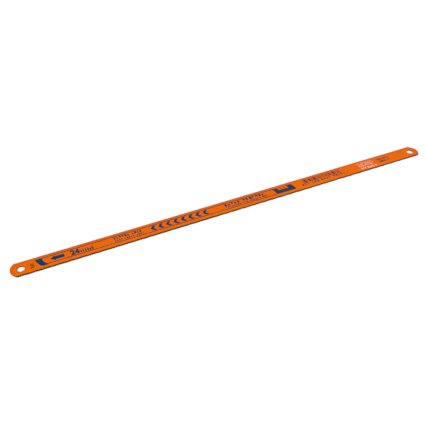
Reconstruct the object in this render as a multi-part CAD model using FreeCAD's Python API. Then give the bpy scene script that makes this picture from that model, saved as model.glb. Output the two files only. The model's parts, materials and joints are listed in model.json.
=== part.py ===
"""Hand hacksaw blade: one thin steel strip with milled teeth set in a wave, and a pin hole at each end.

The blade lies flat. X runs along it, the teeth face -Y, the back edge faces +Y, and Z is its thickness.
The origin is midway between the pin holes and midway across the blade, on the surface that it lies on.
The teeth lean towards -X, which is the end that points away from the handle. Sizes are in millimetres.
"""

import FreeCAD, Part
import math
import os

from FreeCAD import Vector

INCH = 25.4

# Strip
pin_spacing = 300.0
blade_width = 12.5
blade_thickness = 0.65

# Ends: each is a shallow arc that meets the straight edges at a corner
end_overhang = 6.4
end_arc_rise = 3.6
pin_hole_diameter = 4.8

# Teeth
teeth_per_inch = 24
tooth_depth = 0.55
gullet_radius = 0.16

# Set: the tooth edge sways to one side and the other in a smooth wave
teeth_per_wave = 7
set_offset = 0.16
set_height = 1.6
points_on_wave = 9

# What follows from the sizes above
tooth_pitch = INCH / teeth_per_inch
wave_length = teeth_per_wave * tooth_pitch
overall_length = pin_spacing + 2 * end_overhang
wave_count = math.ceil(overall_length / wave_length)
strip_length = wave_count * wave_length
tip_y = -blade_width / 2
back_y = blade_width / 2
set_y = tip_y + set_height
underside_z = set_offset
upper_z = underside_z + blade_thickness
cutter_z = -set_offset
cutter_height = upper_z + 3 * set_offset


def line(start, end):
    return Part.LineSegment(start, end).toShape()


def prism(edges):
    """A closed outline at z = 0, made a block that passes through the blade and its set on both sides."""
    face = Part.Face(Part.Wire(edges))
    face.translate(Vector(0, 0, cutter_z))
    return face.extrude(Vector(0, 0, cutter_height))


def sway(x):
    return set_offset * math.sin(2 * math.pi * x / wave_length)


def waved_edge(z):
    """One wave of the tooth edge along the tips. It starts and ends at the slope of the wave it joins."""
    slope = Vector(1, 0, set_offset * 2 * math.pi / wave_length)
    places = [wave_length * i / (points_on_wave - 1) for i in range(points_on_wave)]
    curve = Part.BSplineCurve()
    curve.interpolate(
        Points=[Vector(x, tip_y, z + sway(x)) for x in places],
        InitialTangent=slope,
        FinalTangent=slope,
    )
    return curve.toShape()


def straight_edge(z):
    return line(Vector(0, set_y, z), Vector(wave_length, set_y, z))


def section(y, make_edge):
    """The strip cut along its length at y, one wave long."""
    start = line(Vector(0, y, underside_z), Vector(0, y, upper_z))
    end = line(Vector(wave_length, y, underside_z), Vector(wave_length, y, upper_z))
    return Part.Wire([make_edge(underside_z), end, make_edge(upper_z), start])


def waved_strip():
    """One wave of the tooth side before milling: flat where the set begins, and fully waved at the tips."""
    return Part.makeLoft([section(set_y, straight_edge), section(tip_y, waved_edge)], True, True)


def tooth_edges(face_x):
    """One tooth: its sloping back, the gullet behind it in two flats, and the next tooth's upright face."""
    next_x = face_x + tooth_pitch
    tip = Vector(face_x, tip_y, 0)
    centre = Vector(next_x - gullet_radius, tip_y + tooth_depth - gullet_radius, 0)
    reach = math.hypot(centre.x - tip.x, centre.y - tip.y)
    relief = math.atan2(centre.y - tip.y, centre.x - tip.x) + math.asin(gullet_radius / reach)
    halfway = math.pi / 4 + relief / 2
    back_end = centre + gullet_radius * Vector(-math.sin(relief), math.cos(relief), 0)
    gullet = centre + gullet_radius * Vector(math.cos(halfway), math.sin(halfway), 0)
    face_top = Vector(next_x, centre.y, 0)
    next_tip = Vector(next_x, tip_y, 0)
    return [line(tip, back_end), line(back_end, gullet), line(gullet, face_top), line(face_top, next_tip)]


def milled_outline():
    """What the cutter leaves of one wave. The last tooth's upright face belongs to the next wave."""
    edges = [edge for i in range(teeth_per_wave) for edge in tooth_edges(i * tooth_pitch)]
    last_gullet = edges.pop().Vertexes[0].Point
    inner_end = Vector(wave_length, set_y, 0)
    inner_start = Vector(0, set_y, 0)
    edges.append(line(last_gullet, inner_end))
    edges.append(line(inner_end, inner_start))
    edges.append(line(inner_start, Vector(0, tip_y, 0)))
    return prism(edges)


def toothed_waves():
    wave = waved_strip().common(milled_outline())
    waves = []
    for i in range(wave_count):
        copy = wave.copy()
        copy.translate(Vector(i * wave_length - strip_length / 2, 0, 0))
        waves.append(copy)
    return waves


def blade_outline():
    """Straight long edges, with an arc at each end."""
    end_x = overall_length / 2
    corner_x = end_x - end_arc_rise
    tooth_corner = Vector(corner_x, tip_y, 0)
    back_corner = Vector(corner_x, back_y, 0)
    far_tooth_corner = Vector(-corner_x, tip_y, 0)
    far_back_corner = Vector(-corner_x, back_y, 0)
    return prism(
        [
            line(far_tooth_corner, tooth_corner),
            Part.Arc(tooth_corner, Vector(end_x, 0, 0), back_corner).toShape(),
            line(back_corner, far_back_corner),
            Part.Arc(far_back_corner, Vector(-end_x, 0, 0), far_tooth_corner).toShape(),
        ]
    )


def pin_hole(x):
    return Part.makeCylinder(pin_hole_diameter / 2, blade_thickness, Vector(x, 0, underside_z))


def hacksaw_blade():
    plain_strip = Part.makeBox(
        strip_length,
        back_y - set_y,
        blade_thickness,
        Vector(-strip_length / 2, set_y, underside_z),
    )
    toothed_strip = plain_strip.fuse(toothed_waves())
    blank = toothed_strip.common(blade_outline())
    return blank.cut([pin_hole(-pin_spacing / 2), pin_hole(pin_spacing / 2)])


os.makedirs("parts", exist_ok=True)
blade = hacksaw_blade()
blade.exportStep("parts/hacksaw_blade.step")
print("solids:", len(blade.Solids), "faces:", len(blade.Faces), "valid:", blade.isValid())
print("length, width, height:", blade.BoundBox.XLength, blade.BoundBox.YLength, blade.BoundBox.ZLength)
print("volume in cubic millimetres:", blade.Volume)
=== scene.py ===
"""The looks of a hand hacksaw blade: lacquered strip, bare cut edges and the print on its face.

Values are in millimetres, and MM turns them to Blender's metres. X runs along the blade, -Y is the tooth
edge and +Z is up, as in the frame.
"""

import json
import math
import random

import bmesh
import bpy
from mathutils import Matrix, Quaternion, Vector


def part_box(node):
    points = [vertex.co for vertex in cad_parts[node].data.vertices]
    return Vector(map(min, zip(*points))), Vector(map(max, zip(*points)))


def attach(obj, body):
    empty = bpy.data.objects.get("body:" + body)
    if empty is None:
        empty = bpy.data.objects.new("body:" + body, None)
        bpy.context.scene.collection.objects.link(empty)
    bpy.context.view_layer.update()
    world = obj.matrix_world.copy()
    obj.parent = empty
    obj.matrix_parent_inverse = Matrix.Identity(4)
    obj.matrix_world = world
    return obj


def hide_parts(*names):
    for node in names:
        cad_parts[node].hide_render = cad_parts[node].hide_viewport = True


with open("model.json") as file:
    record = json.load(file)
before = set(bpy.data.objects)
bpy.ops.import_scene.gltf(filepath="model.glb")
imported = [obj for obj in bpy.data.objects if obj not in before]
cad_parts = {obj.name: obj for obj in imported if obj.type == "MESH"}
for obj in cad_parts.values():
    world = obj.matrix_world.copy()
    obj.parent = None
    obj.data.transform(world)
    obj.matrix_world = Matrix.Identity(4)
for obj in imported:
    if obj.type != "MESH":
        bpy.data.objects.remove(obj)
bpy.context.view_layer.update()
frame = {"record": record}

MM = 0.001
INCH = 25.4
BLADE_NODE = "hacksaw_blade"

# Strip
low, high = (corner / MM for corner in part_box(BLADE_NODE))
pin_holes = [mount for mount in frame["record"]["mounts"] if mount["kind"] == "bore"]
thickness = pin_holes[0]["dims"]["length_mm"]
length = high.x - low.x
half_width = high.y
end_arc_rise = 3.6
end_radius = (half_width**2 + end_arc_rise**2) / (2 * end_arc_rise)
end_centre_x = length / 2 - end_radius
rim_rounding = 0.05

# Teeth
tooth_pitch = INCH / 24
tooth_depth = 0.55
gullet_radius = 0.16
tip_y = -half_width

# Set: the tooth edge sways to both sides in a smooth wave, which starts at one end of the blade
set_offset = 0.16
set_height = 1.6
set_y = tip_y + set_height
teeth_per_wave = 7
wave_length = teeth_per_wave * tooth_pitch
waves = math.ceil(length / wave_length)
wave_start = -waves * wave_length / 2
underside = set_offset
surface = underside + thickness

# How finely rounds are faceted, how tall the punches are, and how close points lie before they are merged
end_flats, hole_flats = 256, 96
gullet_flats, corner_flats, rim_flats = 5, 6, 2
punch_height = 4 * high.z
tooth_join, cut_join, speck = 0.001, 0.0005, 0.002

# Finish
# Near-black for the cut steel: partly heat scale, partly painted shade on the cut walls and the tooth line
DARK_STEEL_AND_SHADE = "120D0A"
relief_height = 0.01

# Print
ink_thickness = 0.015
ink_sink = 0.005
ink_z = (surface - ink_sink, surface + ink_thickness)
line_width = 0.58
label_low, label_high = -2.6, 3.75
marks = random.Random(24)

# Floor and light
floor_size = 6000
walls_end, ceiling_start = 9, 18
ceiling_level = 0.3
lamp_azimuth, lamp_elevation = -60, 50
lamp_spread = 40
lamp_energy = 2.95


def linear(code):
    """An sRGB hex value as a linear colour."""
    parts = [int(code[i : i + 2], 16) / 255 for i in (0, 2, 4)]
    return [c / 12.92 if c <= 0.04045 else ((c + 0.055) / 1.055) ** 2.4 for c in parts] + [1.0]


def add_node(tree, kind, inputs=(), **settings):
    """Adds a node, with its settings, and sets or links the inputs given as (socket, value) pairs."""
    made = tree.nodes.new(kind)
    for name, value in settings.items():
        setattr(made, name, value)
    for socket, value in inputs:
        if isinstance(value, bpy.types.NodeSocket):
            tree.links.new(value, made.inputs[socket])
        else:
            made.inputs[socket].default_value = value
    return made


def new_material(name):
    """A material with no nodes yet, and its node tree."""
    material = bpy.data.materials.new(name)
    material.use_nodes = True
    material.node_tree.nodes.clear()
    return material, material.node_tree


def place_in_mm(tree):
    """The coordinates that patterns read: the piece's own, in millimetres."""
    place = add_node(tree, "ShaderNodeTexCoord").outputs["Object"]
    in_mm = add_node(tree, "ShaderNodeVectorMath", [(0, place), (1, (1 / MM,) * 3)], operation="MULTIPLY")
    return in_mm.outputs["Vector"]


def lacquer_cover(tree, place):
    """Where lacquer is left: none at the milled tips, all of it above them, and a rubbed border between."""
    bare_y, covered_y = tip_y + 0.5, tip_y + 0.85
    rub_size = 0.25
    border = 0.1
    rub = add_node(tree, "ShaderNodeTexNoise", [("Vector", place), ("Scale", 1 / rub_size), ("Detail", 3)])
    across = add_node(tree, "ShaderNodeSeparateXYZ", [("Vector", place)])
    cover = add_node(
        tree,
        "ShaderNodeMapRange",
        [("Value", across.outputs["Y"]), ("From Min", bare_y), ("From Max", covered_y)],
    )
    worn = add_node(
        tree,
        "ShaderNodeMath",
        [(0, cover.outputs["Result"]), (1, rub.outputs["Fac"])],
        operation="SUBTRACT",
    )
    lacquered = add_node(
        tree,
        "ShaderNodeMapRange",
        [("Value", worn.outputs["Value"]), ("From Min", -border), ("From Max", border)],
    )
    return lacquered.outputs["Result"]


def fat_edge(tree, place):
    """Where the lacquer drew thicker: along the back edge and round the ends."""
    edge_start, edge_full = end_radius - 3.4, end_radius - 1.2
    parts = add_node(tree, "ShaderNodeSeparateXYZ", [("Vector", place)])
    along = add_node(tree, "ShaderNodeMath", [(0, parts.outputs["X"])], operation="ABSOLUTE")
    past = add_node(
        tree,
        "ShaderNodeMath",
        [(0, along.outputs["Value"]), (1, end_centre_x)],
        operation="SUBTRACT",
    )
    corner = add_node(
        tree,
        "ShaderNodeCombineXYZ",
        [("X", past.outputs["Value"]), ("Y", parts.outputs["Y"])],
    )
    outwards = add_node(
        tree,
        "ShaderNodeVectorMath",
        [(0, corner.outputs["Vector"]), (1, (0, 0, 0))],
        operation="MAXIMUM",
    )
    reach = add_node(tree, "ShaderNodeVectorMath", [(0, outwards.outputs["Vector"])], operation="LENGTH")
    edge = add_node(
        tree,
        "ShaderNodeMapRange",
        [("Value", reach.outputs["Value"]), ("From Min", edge_start), ("From Max", edge_full)],
    )
    return edge.outputs["Result"]


def orange_lacquer():
    """Stoving lacquer, rolled on before the teeth were milled: satin orange, rubbed off at the tips."""
    material, tree = new_material("orange_stoving_lacquer")
    place = place_in_mm(tree)
    cloud_size = 35
    peel_size = 0.9
    smooth, rough = 0.34, 0.46
    cloud = add_node(
        tree,
        "ShaderNodeTexNoise",
        [("Vector", place), ("Scale", 1 / cloud_size), ("Detail", 2)],
    )
    peel = add_node(
        tree,
        "ShaderNodeTexNoise",
        [("Vector", place), ("Scale", 1 / peel_size), ("Detail", 1)],
    )
    thin_tone = add_node(
        tree,
        "ShaderNodeMix",
        [("Factor", cloud.outputs["Fac"]), ("A", linear("E46000")), ("B", linear("E86D00"))],
        data_type="RGBA",
    )
    tone = add_node(
        tree,
        "ShaderNodeMix",
        [("Factor", fat_edge(tree, place)), ("A", thin_tone.outputs["Result"]), ("B", linear("DC5800"))],
        data_type="RGBA",
    )
    lacquered = lacquer_cover(tree, place)
    # Where the lacquer is rubbed off, the tips take the near-black steel colour, which is partly painted
    # shade
    surface_tone = add_node(
        tree,
        "ShaderNodeMix",
        [("Factor", lacquered), ("A", linear(DARK_STEEL_AND_SHADE)), ("B", tone.outputs["Result"])],
        data_type="RGBA",
    )
    bare = add_node(tree, "ShaderNodeMath", [(0, 1.0), (1, lacquered)], operation="SUBTRACT")
    gloss = add_node(
        tree,
        "ShaderNodeMapRange",
        [("Value", peel.outputs["Fac"]), ("To Min", smooth), ("To Max", rough)],
    )
    relief = add_node(
        tree,
        "ShaderNodeBump",
        [("Height", peel.outputs["Fac"]), ("Strength", 0.25), ("Distance", relief_height * MM)],
    )
    shader = add_node(
        tree,
        "ShaderNodeBsdfPrincipled",
        [
            ("Base Color", surface_tone.outputs["Result"]),
            ("Metallic", bare.outputs["Value"]),
            ("Roughness", gloss.outputs["Result"]),
            ("Normal", relief.outputs["Normal"]),
            ("IOR", 1.5),
            ("Specular IOR Level", 0.02),
        ],
    )
    add_node(tree, "ShaderNodeOutputMaterial", [("Surface", shader.outputs["BSDF"])])
    return material


def cut_steel():
    """Hardened steel where it was punched and milled: dark partly with heat scale and partly with painted
    shade, and finely marked.
    """
    material, tree = new_material("heat_scaled_and_shaded_cut_steel")
    mark_spacing = 0.12
    scale_marks = add_node(
        tree,
        "ShaderNodeTexNoise",
        [("Vector", place_in_mm(tree)), ("Scale", 1 / mark_spacing), ("Detail", 3)],
    )
    tone = add_node(
        tree,
        "ShaderNodeMix",
        [("Factor", scale_marks.outputs["Fac"]), ("A", linear(DARK_STEEL_AND_SHADE)), ("B", linear("251E1A"))],
        data_type="RGBA",
    )
    relief = add_node(
        tree,
        "ShaderNodeBump",
        [("Height", scale_marks.outputs["Fac"]), ("Strength", 0.4), ("Distance", relief_height * MM)],
    )
    shader = add_node(
        tree,
        "ShaderNodeBsdfPrincipled",
        [
            ("Base Color", tone.outputs["Result"]),
            ("Metallic", 1.0),
            ("Roughness", 0.45),
            ("Normal", relief.outputs["Normal"]),
        ],
    )
    add_node(tree, "ShaderNodeOutputMaterial", [("Surface", shader.outputs["BSDF"])])
    return material


def printing_ink(name, thin_tone, full_tone):
    """Pad-printed ink: an even colour that is slightly thinner in places."""
    material, tree = new_material(name)
    patch_size = 0.8
    patches = add_node(
        tree,
        "ShaderNodeTexNoise",
        [("Vector", place_in_mm(tree)), ("Scale", 1 / patch_size), ("Detail", 2)],
    )
    tone = add_node(
        tree,
        "ShaderNodeMix",
        [("Factor", patches.outputs["Fac"]), ("A", linear(thin_tone)), ("B", linear(full_tone))],
        data_type="RGBA",
    )
    shader = add_node(
        tree,
        "ShaderNodeBsdfPrincipled",
        [
            ("Base Color", tone.outputs["Result"]),
            ("Roughness", 0.45),
            ("IOR", 1.5),
            ("Specular IOR Level", 0.03),
        ],
    )
    add_node(tree, "ShaderNodeOutputMaterial", [("Surface", shader.outputs["BSDF"])])
    return material


lacquer = orange_lacquer()
steel = cut_steel()
navy_ink = printing_ink("navy_printing_ink", "0C4260", "083A4F")
thin_navy_ink = printing_ink("thin_navy_printing_ink", "30404F", "2A3A4C")
fine_ink = printing_ink("thick_navy_printing_ink", "07424A", "053A42")
pale_ink = printing_ink("white_printing_ink", "E2B6A8", "EAD0C8")
stamp_ink = printing_ink("brown_stamp_ink", "7A3208", "5A2206")


def stop_editing():
    bpy.ops.object.mode_set(mode="OBJECT")


def nothing_selected():
    if bpy.context.object and bpy.context.object.mode == "EDIT":
        stop_editing()
    bpy.ops.object.select_all(action="DESELECT")


def pick(piece):
    """Makes the piece the active one and the only one selected."""
    nothing_selected()
    bpy.context.view_layer.objects.active = piece
    piece.select_set(True)


def edit(piece):
    pick(piece)
    bpy.ops.object.mode_set(mode="EDIT")


def place_in_mesh(name):
    """Names the active object and puts its place in its mesh."""
    piece = bpy.context.object
    piece.name = name
    piece.data.name = name
    bpy.ops.object.transform_apply(location=True, rotation=True, scale=True)
    return piece


def add_cube(x, y, z):
    """A cube stretched between the two ends given for each axis."""
    centre = [(a + b) / 2 * MM for a, b in (x, y, z)]
    size = [abs(b - a) * MM for a, b in (x, y, z)]
    bpy.ops.mesh.primitive_cube_add(size=1, location=centre, scale=size)


def block(name, x, y, z):
    """A piece of its own, made of one stretched cube."""
    nothing_selected()
    add_cube(x, y, z)
    return place_in_mesh(name)


def round_punch(name, radius, flats, location):
    """An upright cylinder that passes through the blade, with its location in metres."""
    nothing_selected()
    bpy.ops.mesh.primitive_cylinder_add(
        vertices=flats,
        radius=radius * MM,
        depth=punch_height * MM,
        location=location,
    )
    return place_in_mesh(name)


def select(kind, test):
    """In edit mode, selects the vertices, edges or faces that pass the test, and nothing else."""
    bpy.ops.mesh.select_mode(type={"verts": "VERT", "edges": "EDGE", "faces": "FACE"}[kind])
    bpy.ops.mesh.select_all(action="DESELECT")
    mesh = bmesh.from_edit_mesh(bpy.context.object.data)
    for element in getattr(mesh, kind):
        if test(element):
            element.select_set(True)
    mesh.select_flush_mode()
    bmesh.update_edit_mesh(bpy.context.object.data)


def near(a, b, reach=0.001):
    return abs(a - b) < reach


def at(vertex, x=None, y=None):
    return (x is None or near(vertex.co.x / MM, x)) and (y is None or near(vertex.co.y / MM, y))


def faces_along(face, direction, mostly=0.5):
    """Whether a face looks mostly along the direction."""
    return face.normal.dot(Vector(direction)) > mostly


def is_upright(edge):
    """Whether an edge of a print runs up through the ink."""
    return abs(edge.verts[0].co.z - edge.verts[1].co.z) > ink_thickness / 2 * MM


def is_rim(edge):
    """Whether an edge lies between a flat face and an upright wall, clear of the teeth."""
    clearance = 0.01
    wall_tilt, face_tilt = 0.1, 0.9
    if len(edge.link_faces) != 2 or any(v.co.y / MM < set_y + clearance for v in edge.verts):
        return False
    tilts = sorted(abs(f.normal.z) for f in edge.link_faces)
    return tilts[0] < wall_tilt and tilts[1] > face_tilt


def slide(x=0, y=0):
    bpy.ops.transform.translate(value=(x * MM, y * MM, 0))


def extrude(x=0, y=0):
    bpy.ops.mesh.extrude_region_move(TRANSFORM_OT_translate={"value": (x * MM, y * MM, 0)})


def slice_at(co, normal):
    """Cuts all of the mesh in edit mode along a plane, and keeps both sides."""
    bpy.ops.mesh.select_all(action="SELECT")
    bpy.ops.mesh.bisect(plane_co=[c * MM for c in co], plane_no=normal)


def merge_close():
    """In edit mode, merges points that lie within a speck of each other and deletes faces with no area."""
    bpy.ops.mesh.select_all(action="SELECT")
    bpy.ops.mesh.remove_doubles(threshold=speck * MM)
    bpy.ops.mesh.select_all(action="SELECT")
    bpy.ops.mesh.dissolve_degenerate(threshold=speck * MM)


def apply_modifier(piece, kind, **settings):
    pick(piece)
    modifier = piece.modifiers.new(kind.lower(), kind)
    for name, value in settings.items():
        setattr(modifier, name, value)
    bpy.ops.object.modifier_apply(modifier=modifier.name)


def repeat_along_blade(piece, count, pitch, **settings):
    apply_modifier(
        piece,
        "ARRAY",
        count=count,
        use_relative_offset=False,
        use_constant_offset=True,
        constant_offset_displace=(pitch * MM, 0, 0),
        **settings,
    )


def cut(piece, operation, cutter):
    apply_modifier(piece, "BOOLEAN", operation=operation, object=cutter, solver="EXACT")
    bpy.data.objects.remove(cutter)


def tooth_cell():
    """One pitch of the blade, with a tooth's upright face in its middle and both ends open."""
    centre_x, centre_y = tooth_pitch - gullet_radius, tooth_depth - gullet_radius
    relief = math.atan2(centre_y, centre_x) + math.asin(gullet_radius / math.hypot(centre_x, centre_y))
    half_pitch = tooth_pitch / 2
    middle_y = tip_y + half_pitch * math.tan(relief)
    root_y = tip_y + tooth_pitch * math.tan(relief)
    cell = block("toothed_strip", (-half_pitch, half_pitch), (root_y, half_width), (underside, surface))
    edit(cell)
    slice_at((0, 0, 0), (1, 0, 0))
    select("faces", lambda f: faces_along(f, (0, -1, 0)) and f.calc_center_median().x > 0)
    extrude(y=tip_y - root_y)
    select("verts", lambda v: at(v, half_pitch, tip_y))
    slide(y=middle_y - tip_y)
    select("verts", lambda v: at(v, -half_pitch, root_y))
    slide(y=middle_y - root_y)
    select("edges", lambda e: all(at(v, 0, root_y) for v in e.verts))
    corner = (math.pi / 2 - relief) / 2
    gullet_reach = gullet_radius / math.tan(corner)
    bpy.ops.mesh.bevel(offset=gullet_reach * MM, segments=gullet_flats, affect="EDGES")
    for y in (root_y, (root_y + set_y) / 2, set_y):
        slice_at((0, y, 0), (0, 1, 0))
    select("faces", lambda f: all(near(abs(v.co.x) / MM, half_pitch) for v in f.verts))
    bpy.ops.mesh.delete(type="FACE")
    stop_editing()
    return cell


def sway(x, y):
    """How far the set pushes a point up or down: a wave along the blade that fades towards the strip."""
    lean = max(0, (set_y - y) / set_height)
    return set_offset * lean * math.sin(2 * math.pi * (x - wave_start) / wave_length)


def toothed_strip():
    """The teeth in a row, longer than the blade by part of a wave, with their set and closed ends."""
    strip = tooth_cell()
    edit(strip)
    bpy.ops.mesh.select_all(action="SELECT")
    slide(x=wave_start)
    repeat_along_blade(
        strip,
        waves * teeth_per_wave + 1,
        tooth_pitch,
        use_merge_vertices=True,
        merge_threshold=tooth_join * MM,
    )
    for vertex in strip.data.vertices:
        vertex.co.z += sway(vertex.co.x / MM, vertex.co.y / MM) * MM
    edit(strip)
    for side in (-1, 1):
        end_x = max(side * v.co.x for v in bmesh.from_edit_mesh(strip.data).verts)
        select("verts", lambda v: near(side * v.co.x / MM, end_x / MM))
        bpy.ops.mesh.edge_face_add()
    bpy.ops.mesh.select_all(action="SELECT")
    bpy.ops.mesh.normals_make_consistent(inside=False)
    return strip


def end_punch():
    """A bar with round ends, wider than the strip, whose arcs give the blade's ends."""
    punch = round_punch("end_punch", end_radius, end_flats, (end_centre_x * MM, 0, 0))
    edit(punch)
    select("verts", lambda v: v.co.x < end_centre_x * MM)
    slide(x=-2 * end_centre_x)
    stop_editing()
    return punch


def blade():
    """The whole blade, lacquered on its faces and bare where it was cut."""
    face_tilt = 0.2
    smooth_angle = 25
    strip = toothed_strip()
    cut(strip, "INTERSECT", end_punch())
    for mount in pin_holes:
        punch = round_punch("hole_punch", mount["dims"]["r_mm"], hole_flats, mount["pos_m"])
        cut(strip, "DIFFERENCE", punch)
    edit(strip)
    bpy.ops.mesh.select_all(action="SELECT")
    bpy.ops.mesh.remove_doubles(threshold=cut_join * MM)
    select("edges", is_rim)
    bpy.ops.mesh.bevel(offset=rim_rounding * MM, segments=rim_flats, affect="EDGES", clamp_overlap=False)
    merge_close()
    stop_editing()
    strip.data.materials.clear()
    strip.data.materials.append(lacquer)
    strip.data.materials.append(steel)
    for polygon in strip.data.polygons:
        polygon.material_index = 0 if abs(polygon.normal.z) > face_tilt else 1
    bpy.ops.object.shade_smooth_by_angle(angle=math.radians(smooth_angle))
    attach(strip, "root")
    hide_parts(BLADE_NODE)


def finish_print(piece, ink):
    piece.data.materials.clear()
    piece.data.materials.append(ink)
    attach(piece, "root")


def ink_bars(name, ink, bars):
    """Upright rectangles of ink in one piece, each given by its two ends in x and in y."""
    piece = block(name, *bars[0], ink_z)
    edit(piece)
    for x, y in bars[1:]:
        add_cube(x, y, ink_z)
    stop_editing()
    finish_print(piece, ink)


def small_print(name, ink, x, y, pitch, stroke):
    """A line of small print as separate upright bars of uneven height, in groups as long as words."""
    word_lengths = (3, 8)
    word_gap = 0.7
    stroke_spread = (0.7, 1.3)
    trims = ((0, 0), (0, 0), (0, 0.3), (0.3, 0), (0.15, 0.15))
    (left, right), (foot, head) = x, y
    height = head - foot
    bars = []
    left_in_word = marks.randint(*word_lengths)
    while left + stroke <= right:
        width = stroke * marks.uniform(*stroke_spread)
        low_trim, high_trim = marks.choice(trims)
        bar_x = (left, min(left + width, right))
        bars.append((bar_x, (foot + low_trim * height, head - high_trim * height)))
        left += pitch
        left_in_word -= 1
        if left_in_word == 0:
            left += pitch * word_gap
            left_in_word = marks.randint(*word_lengths)
    ink_bars(name, ink, bars)


def frame_lines():
    """The two thin lines that run along the label, between its start block and its end comb."""
    half_line = line_width / 2
    lines = ((-133.3, 28.9, label_low), (-136.2, 27.9, label_high))
    bars = [((left, right), (y - half_line, y + half_line)) for left, right, y in lines]
    ink_bars("print_frame_lines", fine_ink, bars)


def start_block():
    """The label's solid start: a slanted block with round corners and a foot that runs out along it."""
    left, right, foot = -140.8, -136.2, -132.6
    slant = 2.6
    low_corner, high_corner = 1.9, 1.3
    block_low, block_high = label_low - 0.85, label_high + 0.3
    rows = 12
    foot_hollow = 3
    piece = block("print_start_block", (left, right), (block_low, block_high), ink_z)
    edit(piece)
    select("verts", lambda v: at(v, left, block_low))
    slide(x=slant)
    for x, y, corner in ((left, block_high, high_corner), (left + slant, block_low, low_corner)):
        select("edges", lambda e: is_upright(e) and at(e.verts[0], x, y))
        bpy.ops.mesh.bevel(offset=corner * MM, segments=corner_flats, affect="EDGES")
    row_heights = [block_low + (block_high - block_low) * row / rows for row in range(rows)]
    for y in row_heights[1:]:
        slice_at((0, y, 0), (0, 1, 0))
    for row, y in enumerate(row_heights):
        select("verts", lambda v: at(v, right, y))
        slide(x=(foot - right) * (1 - row / rows) ** foot_hollow)
    merge_close()
    stop_editing()
    finish_print(piece, navy_ink)


def arrow():
    """A plain straight arrow towards the end that points away from the handle."""
    tip, neck, tail = -131.7, -128.5, -122.8
    middle_y = 0.65
    shaft_half, head_half = 1.5, 2.4
    piece = block("print_arrow", (neck, tail), (middle_y - shaft_half, middle_y + shaft_half), ink_z)
    edit(piece)
    centre = (neck * MM, middle_y * MM, sum(ink_z) / 2 * MM)
    select("faces", lambda f: faces_along(f, (-1, 0, 0)))
    extrude()
    bpy.ops.transform.resize(value=(1, head_half / shaft_half, 1), center_override=centre)
    extrude(x=tip - neck)
    bpy.ops.transform.resize(value=(1, 0, 1), center_override=centre)
    merge_close()
    stop_editing()
    finish_print(piece, navy_ink)


def tooth_count():
    """The number of teeth to the inch, set in type and then stretched to its place."""
    low_corner, high_corner = (-119.1, -1.9, ink_z[0]), (-113.2, 3.1, ink_z[1])
    stroke_swell = 0.055
    type_depth = 0.5
    nothing_selected()
    bpy.ops.object.text_add()
    text = bpy.context.object
    text.data.body = "24"
    text.data.offset = stroke_swell
    text.data.extrude = type_depth
    bpy.ops.object.convert(target="MESH")
    piece = bpy.context.object
    type_low, type_high = piece.bound_box[0], piece.bound_box[6]
    corners = zip(low_corner, high_corner, type_low, type_high)
    piece.scale = [(b - a) / (d - c) * MM for a, b, c, d in corners]
    piece.location = [a * MM - c * s for a, c, s in zip(low_corner, type_low, piece.scale)]
    place_in_mesh("print_tooth_count")
    edit(piece)
    merge_close()
    stop_editing()
    finish_print(piece, fine_ink)


def chevron_row():
    """Eight bold chevrons along the middle of the label."""
    left, right = -65.4, -23.5
    foot, head = -1.85, 3.1
    count = 8
    stroke, depth = 2.3, 1.9
    pitch = (right - left - stroke - depth) / (count - 1)
    middle_y = (foot + head) / 2
    piece = block("print_chevrons", (left + depth, left + depth + stroke), (foot, head), ink_z)
    edit(piece)
    slice_at((0, middle_y, 0), (0, 1, 0))
    select("verts", lambda v: at(v, y=middle_y))
    slide(x=-depth)
    repeat_along_blade(piece, count, pitch)
    finish_print(piece, navy_ink)


def end_comb():
    """The label's end: slanted stripes, bold at both sides and thin between, that stand on one bar."""
    stripes = ((28.9, 32.9), (34.9, 35.6), (37.6, 38.3), (40.3, 44.7))
    left, right = stripes[0][0], stripes[-1][1]
    bar_low, bar_high = label_low - line_width / 2, label_low + 3.4
    stripe_high = label_high + 0.05
    rise = stripe_high - bar_high
    lean = -0.33
    piece = block("print_end_comb", (left, right), (bar_low, bar_high), ink_z)
    edit(piece)
    for x in (edge for stripe in stripes for edge in stripe if left < edge < right):
        slice_at((x, 0, 0), (1, 0, 0))

    def carries_stripe(face):
        middle = face.calc_center_median().x / MM
        return faces_along(face, (0, 1, 0)) and any(start < middle < end for start, end in stripes)

    select("faces", carries_stripe)
    extrude(x=lean * rise, y=rise)
    stop_editing()
    finish_print(piece, thin_navy_ink)


def bar_field():
    """Upright bars of uneven width that stand for no number, over a row of small marks."""
    left, right = 53.4, 86.0
    foot_and_head = (0.2, 4.1)
    bar_widths, gap_widths = (0.5, 0.5, 0.9, 1.5), (0.6, 0.6, 1.1, 1.8)
    draws = random.Random(8626)
    bars = []
    while left < right:
        width = draws.choice(bar_widths)
        bars.append(((left, left + width), foot_and_head))
        left += width + draws.choice(gap_widths)
    ink_bars("print_bar_field", fine_ink, bars)
    small_print("print_bar_field_row", fine_ink, (51.0, 88.6), (-2.5, 0.0), pitch=2.2, stroke=0.85)


def pale_field():
    """Light print near the handle end: three rows of fine bars, and a bolder row under them."""
    rows, row_height, row_gap = 3, 1.25, 0.5
    lowest = -0.7
    for row in range(rows):
        foot = lowest + (row_height + row_gap) * row
        name = f"print_pale_row_{row + 1}"
        small_print(name, pale_ink, (101.9, 115.5), (foot, foot + row_height), pitch=0.9, stroke=0.4)
    small_print("print_pale_base", pale_ink, (102.0, 116.0), (-4.4, -2.0), pitch=1.5, stroke=0.8)


def batch_stamp():
    """Three short bars, one over the other, stamped beside the front pin hole."""
    bar_x = (-144.1, -141.9)
    rows = ((0.8, 1.5), (-0.6, 0.3), (-2.5, -1.5))
    ink_bars("print_batch_stamp", stamp_ink, [(bar_x, row) for row in rows])


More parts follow.
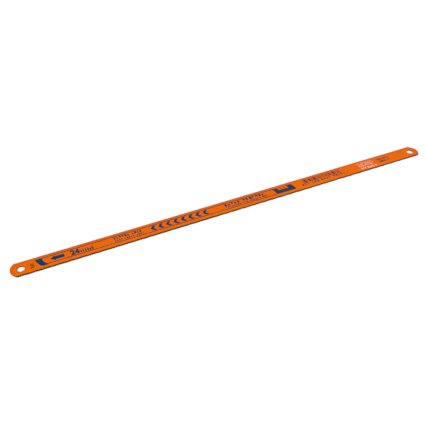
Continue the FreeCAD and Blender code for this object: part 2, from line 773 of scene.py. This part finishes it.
def printing():
    """All the print, from the front pin hole to the handle end, and the stamp."""
    frame_lines()
    start_block()
    arrow()
    tooth_count()
    small_print("print_count_note", fine_ink, (-112.8, -103.4), (-1.85, 1.05), pitch=1.45, stroke=0.85)
    small_print("print_use_row_1", fine_ink, (-90.2, -70.4), (0.8, 3.05), pitch=1.8, stroke=1.0)
    small_print("print_use_row_2", fine_ink, (-90.2, -70.4), (-1.75, 0.15), pitch=1.4, stroke=0.65)
    chevron_row()
    small_print("print_kind_row_1", fine_ink, (-10.6, 20.4), (0.6, 3.05), pitch=2.5, stroke=1.65)
    small_print("print_kind_row_2", fine_ink, (-10.6, 22.4), (-1.8, 0.2), pitch=1.5, stroke=0.75)
    end_comb()
    bar_field()
    pale_field()
    small_print("print_origin_row_1", fine_ink, (120.0, 130.4), (0.9, 2.9), pitch=1.5, stroke=0.95)
    small_print("print_origin_row_2", fine_ink, (120.0, 130.4), (-2.1, -0.1), pitch=1.5, stroke=0.95)
    batch_stamp()


def floor():
    """A sheet of white paper under the blade, which keeps its shadow."""
    nothing_selected()
    bpy.ops.mesh.primitive_plane_add(size=floor_size * MM)
    ground = place_in_mesh("studio_floor")
    material, tree = new_material("white_paper_floor")
    shader = add_node(tree, "ShaderNodeBsdfDiffuse", [("Color", linear("FFFFFF"))])
    add_node(tree, "ShaderNodeOutputMaterial", [("Surface", shader.outputs["BSDF"])])
    ground.data.materials.append(material)


def towards(azimuth, elevation):
    """The direction from the blade to a place round it: azimuth 0 is the tooth side, +90 the handle's."""
    azimuth, elevation = math.radians(azimuth), math.radians(elevation)
    across = math.cos(elevation)
    return Vector((math.sin(azimuth) * across, -math.cos(azimuth) * across, math.sin(elevation)))


def studio_light():
    """White walls round the floor under a dim ceiling, and one broad soft lamp over the tooth side."""
    world = bpy.data.worlds.new("white_studio")
    bpy.context.scene.world = world
    world.use_nodes = True
    tree = world.node_tree
    direction = add_node(tree, "ShaderNodeTexCoord").outputs["Generated"]
    height = add_node(tree, "ShaderNodeSeparateXYZ", [("Vector", direction)]).outputs["Z"]
    level = add_node(
        tree,
        "ShaderNodeMapRange",
        [
            ("Value", height),
            ("From Min", math.sin(math.radians(walls_end))),
            ("From Max", math.sin(math.radians(ceiling_start))),
            ("To Min", 1.0),
            ("To Max", ceiling_level),
        ],
    )
    background = tree.nodes["Background"]
    background.inputs["Color"].default_value = linear("FFFFFF")
    tree.links.new(level.outputs["Result"], background.inputs["Strength"])
    lamp = bpy.data.lights.new("soft_key", "SUN")
    lamp.angle = math.radians(lamp_spread)
    lamp.energy = lamp_energy
    key = bpy.data.objects.new("soft_key", lamp)
    bpy.context.collection.objects.link(key)
    key.rotation_mode = "QUATERNION"
    key.rotation_quaternion = towards(lamp_azimuth, lamp_elevation).to_track_quat("Z", "Y")


def photo_camera():
    """The photograph's own view: from the tooth side, with the arrow's end nearer."""
    azimuth, elevation, roll = -26.61, 37.3, 0.07
    distance = 420.7
    nearest_seen = 10
    aim = Vector((-21.0, -0.715, underside))
    sensor_width = 36
    focal_pixels, picture_pixels = 622.0, 425
    data = bpy.data.cameras.new("photo_camera")
    data.sensor_width = sensor_width
    data.lens = sensor_width * focal_pixels / picture_pixels
    data.clip_start = nearest_seen * MM
    camera = bpy.data.objects.new("photo_camera", data)
    bpy.context.collection.objects.link(camera)
    back = towards(azimuth, elevation)
    camera.location = (aim + back * distance) * MM
    camera.rotation_mode = "QUATERNION"
    level_view = (-back).to_track_quat("-Z", "Y")
    camera.rotation_quaternion = level_view @ Quaternion((0, 0, 1), math.radians(roll))
    bpy.context.scene.camera = camera


blade()
printing()
floor()
studio_light()
photo_camera()
bpy.context.scene.view_settings.view_transform = "Standard"
